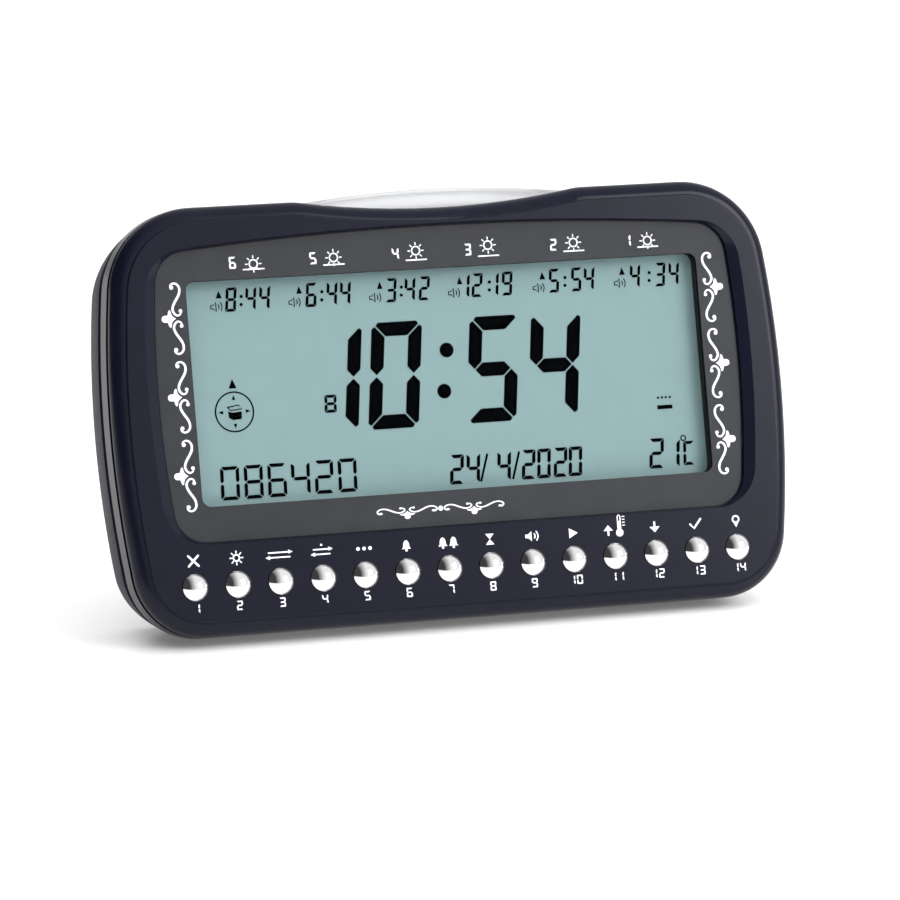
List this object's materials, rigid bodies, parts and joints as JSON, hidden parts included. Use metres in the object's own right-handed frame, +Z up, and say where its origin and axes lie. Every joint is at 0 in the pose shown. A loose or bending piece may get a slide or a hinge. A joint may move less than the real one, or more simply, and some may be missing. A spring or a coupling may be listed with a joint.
{
  "type": "azan clock",
  "caption": "Table clock with a wide framed LCD, a row of domed chrome push buttons, a scooped top edge with a light bar, and a fold-out rear leg.",
  "frame": {"origin": "on the table, under the middle of the outer box with the leg folded out", "axes": "+X to the clock's right as seen from the front, -Y towards the viewer, +Z up"},
  "size_m": [0.1928, 0.0602, 0.1156],
  "materials": {
    "bar_frost": "frosted translucent acrylic",
    "board_green": "solder mask on glass fibre board",
    "button_chrome": "bright chromed plastic",
    "casing_plastic": "moulded, satin gloss, very dark navy",
    "cell_wrap": "shrink wrap",
    "component_black": "moulded components",
    "cone_paper": "pressed black paper",
    "diffuser_white": "matt white light guide",
    "frame_black": "moulded, matt black",
    "lcd_panel": "grey-green reflective display glass",
    "lens_window": "clear acrylic, back-printed dark grey border",
    "plated_steel": "bright zinc or nickel plate",
    "rear_plastic": "moulded, fine spark texture, very dark navy",
    "rubber_black": "soft black rubber",
    "silicone_grey": "soft silicone",
    "wire_sheath": "insulated lead"
  },
  "bodies": {
    "clock_body": {"backlight_panel": "diffuser_white", "battery_contacts": "plated_steel", "battery_springs": "plated_steel", "battery_wires": "wire_sheath", "board_screws": "plated_steel", "capacitors": "component_black", "case_screws": "plated_steel", "cell_lower": "cell_wrap", "cell_upper": "cell_wrap", "controller_chip": "component_black", "display_lens": "lens_window", "front_casing": "casing_plastic", "lcd_frame": "frame_black", "lcd_glass": "lcd_panel", "light_bar_switch": "component_black", "main_circuit_board": "board_green", "quartz_crystal": "plated_steel", "rear_cover": "rear_plastic", "rubber_feet": "rubber_black", "rubber_keypad": "silicone_grey", "sound_chip": "component_black", "speaker_basket": "plated_steel", "speaker_cone": "cone_paper", "speaker_magnet": "plated_steel", "speaker_retainer": "frame_black", "speaker_screws": "plated_steel", "speaker_wires": "wire_sheath", "stand_hinge_pin": "plated_steel", "temperature_sensor": "component_black", "zebra_strips": "silicone_grey"},
    "button_01_cap": {"button_01": "button_chrome"},
    "button_02_cap": {"button_02": "button_chrome"},
    "button_03_cap": {"button_03": "button_chrome"},
    "button_04_cap": {"button_04": "button_chrome"},
    "button_05_cap": {"button_05": "button_chrome"},
    "button_06_cap": {"button_06": "button_chrome"},
    "button_07_cap": {"button_07": "button_chrome"},
    "button_08_cap": {"button_08": "button_chrome"},
    "button_09_cap": {"button_09": "button_chrome"},
    "button_10_cap": {"button_10": "button_chrome"},
    "button_11_cap": {"button_11": "button_chrome"},
    "button_12_cap": {"button_12": "button_chrome"},
    "button_13_cap": {"button_13": "button_chrome"},
    "button_14_cap": {"button_14": "button_chrome"},
    "light_bar_body": {"light_bar": "bar_frost"},
    "door": {"battery_door": "rear_plastic"},
    "leg": {"stand_leg": "rear_plastic", "stand_foot_pad": "rubber_black"}
  },
  "joints": [
    {"name": "button_01_press", "type": "slide", "parent": "clock_body", "child": "button_01_cap", "axis": [0, 0.9703, -0.2419], "range_m": [0, 0.0008], "stiffness_N_per_m": 600, "springref_m": -0.001, "deforming": ["rubber_keypad"]},
    {"name": "button_02_press", "type": "slide", "parent": "clock_body", "child": "button_02_cap", "axis": [0, 0.9703, -0.2419], "range_m": [0, 0.0008], "stiffness_N_per_m": 600, "springref_m": -0.001, "deforming": ["rubber_keypad"]},
    {"name": "button_03_press", "type": "slide", "parent": "clock_body", "child": "button_03_cap", "axis": [0, 0.9703, -0.2419], "range_m": [0, 0.0008], "stiffness_N_per_m": 600, "springref_m": -0.001, "deforming": ["rubber_keypad"]},
    {"name": "button_04_press", "type": "slide", "parent": "clock_body", "child": "button_04_cap", "axis": [0, 0.9703, -0.2419], "range_m": [0, 0.0008], "stiffness_N_per_m": 600, "springref_m": -0.001, "deforming": ["rubber_keypad"]},
    {"name": "button_05_press", "type": "slide", "parent": "clock_body", "child": "button_05_cap", "axis": [0, 0.9703, -0.2419], "range_m": [0, 0.0008], "stiffness_N_per_m": 600, "springref_m": -0.001, "deforming": ["rubber_keypad"]},
    {"name": "button_06_press", "type": "slide", "parent": "clock_body", "child": "button_06_cap", "axis": [0, 0.9703, -0.2419], "range_m": [0, 0.0008], "stiffness_N_per_m": 600, "springref_m": -0.001, "deforming": ["rubber_keypad"]},
    {"name": "button_07_press", "type": "slide", "parent": "clock_body", "child": "button_07_cap", "axis": [0, 0.9703, -0.2419], "range_m": [0, 0.0008], "stiffness_N_per_m": 600, "springref_m": -0.001, "deforming": ["rubber_keypad"]},
    {"name": "button_08_press", "type": "slide", "parent": "clock_body", "child": "button_08_cap", "axis": [0, 0.9703, -0.2419], "range_m": [0, 0.0008], "stiffness_N_per_m": 600, "springref_m": -0.001, "deforming": ["rubber_keypad"]},
    {"name": "button_09_press", "type": "slide", "parent": "clock_body", "child": "button_09_cap", "axis": [0, 0.9703, -0.2419], "range_m": [0, 0.0008], "stiffness_N_per_m": 600, "springref_m": -0.001, "deforming": ["rubber_keypad"]},
    {"name": "button_10_press", "type": "slide", "parent": "clock_body", "child": "button_10_cap", "axis": [0, 0.9703, -0.2419], "range_m": [0, 0.0008], "stiffness_N_per_m": 600, "springref_m": -0.001, "deforming": ["rubber_keypad"]},
    {"name": "button_11_press", "type": "slide", "parent": "clock_body", "child": "button_11_cap", "axis": [0, 0.9703, -0.2419], "range_m": [0, 0.0008], "stiffness_N_per_m": 600, "springref_m": -0.001, "deforming": ["rubber_keypad"]},
    {"name": "button_12_press", "type": "slide", "parent": "clock_body", "child": "button_12_cap", "axis": [0, 0.9703, -0.2419], "range_m": [0, 0.0008], "stiffness_N_per_m": 600, "springref_m": -0.001, "deforming": ["rubber_keypad"]},
    {"name": "button_13_press", "type": "slide", "parent": "clock_body", "child": "button_13_cap", "axis": [0, 0.9703, -0.2419], "range_m": [0, 0.0008], "stiffness_N_per_m": 600, "springref_m": -0.001, "deforming": ["rubber_keypad"]},
    {"name": "button_14_press", "type": "slide", "parent": "clock_body", "child": "button_14_cap", "axis": [0, 0.9703, -0.2419], "range_m": [0, 0.0008], "stiffness_N_per_m": 600, "springref_m": -0.001, "deforming": ["rubber_keypad"]},
    {"name": "light_bar_press", "type": "slide", "parent": "clock_body", "child": "light_bar_body", "axis": [0, -0.2419, -0.9703], "range_m": [0, 0.0012], "stiffness_N_per_m": 800, "springref_m": -0.001},
    {"name": "battery_door_off", "type": "slide", "parent": "clock_body", "child": "door", "axis": [0, 0.9703, -0.2419], "range_m": [0, 0.03]},
    {"name": "stand_leg_fold", "type": "hinge", "parent": "clock_body", "child": "leg", "pos_m": [0, 0.01534, 0.06034], "axis": [-1, 0, 0], "range_deg": [0, 25.17]}
  ]
}
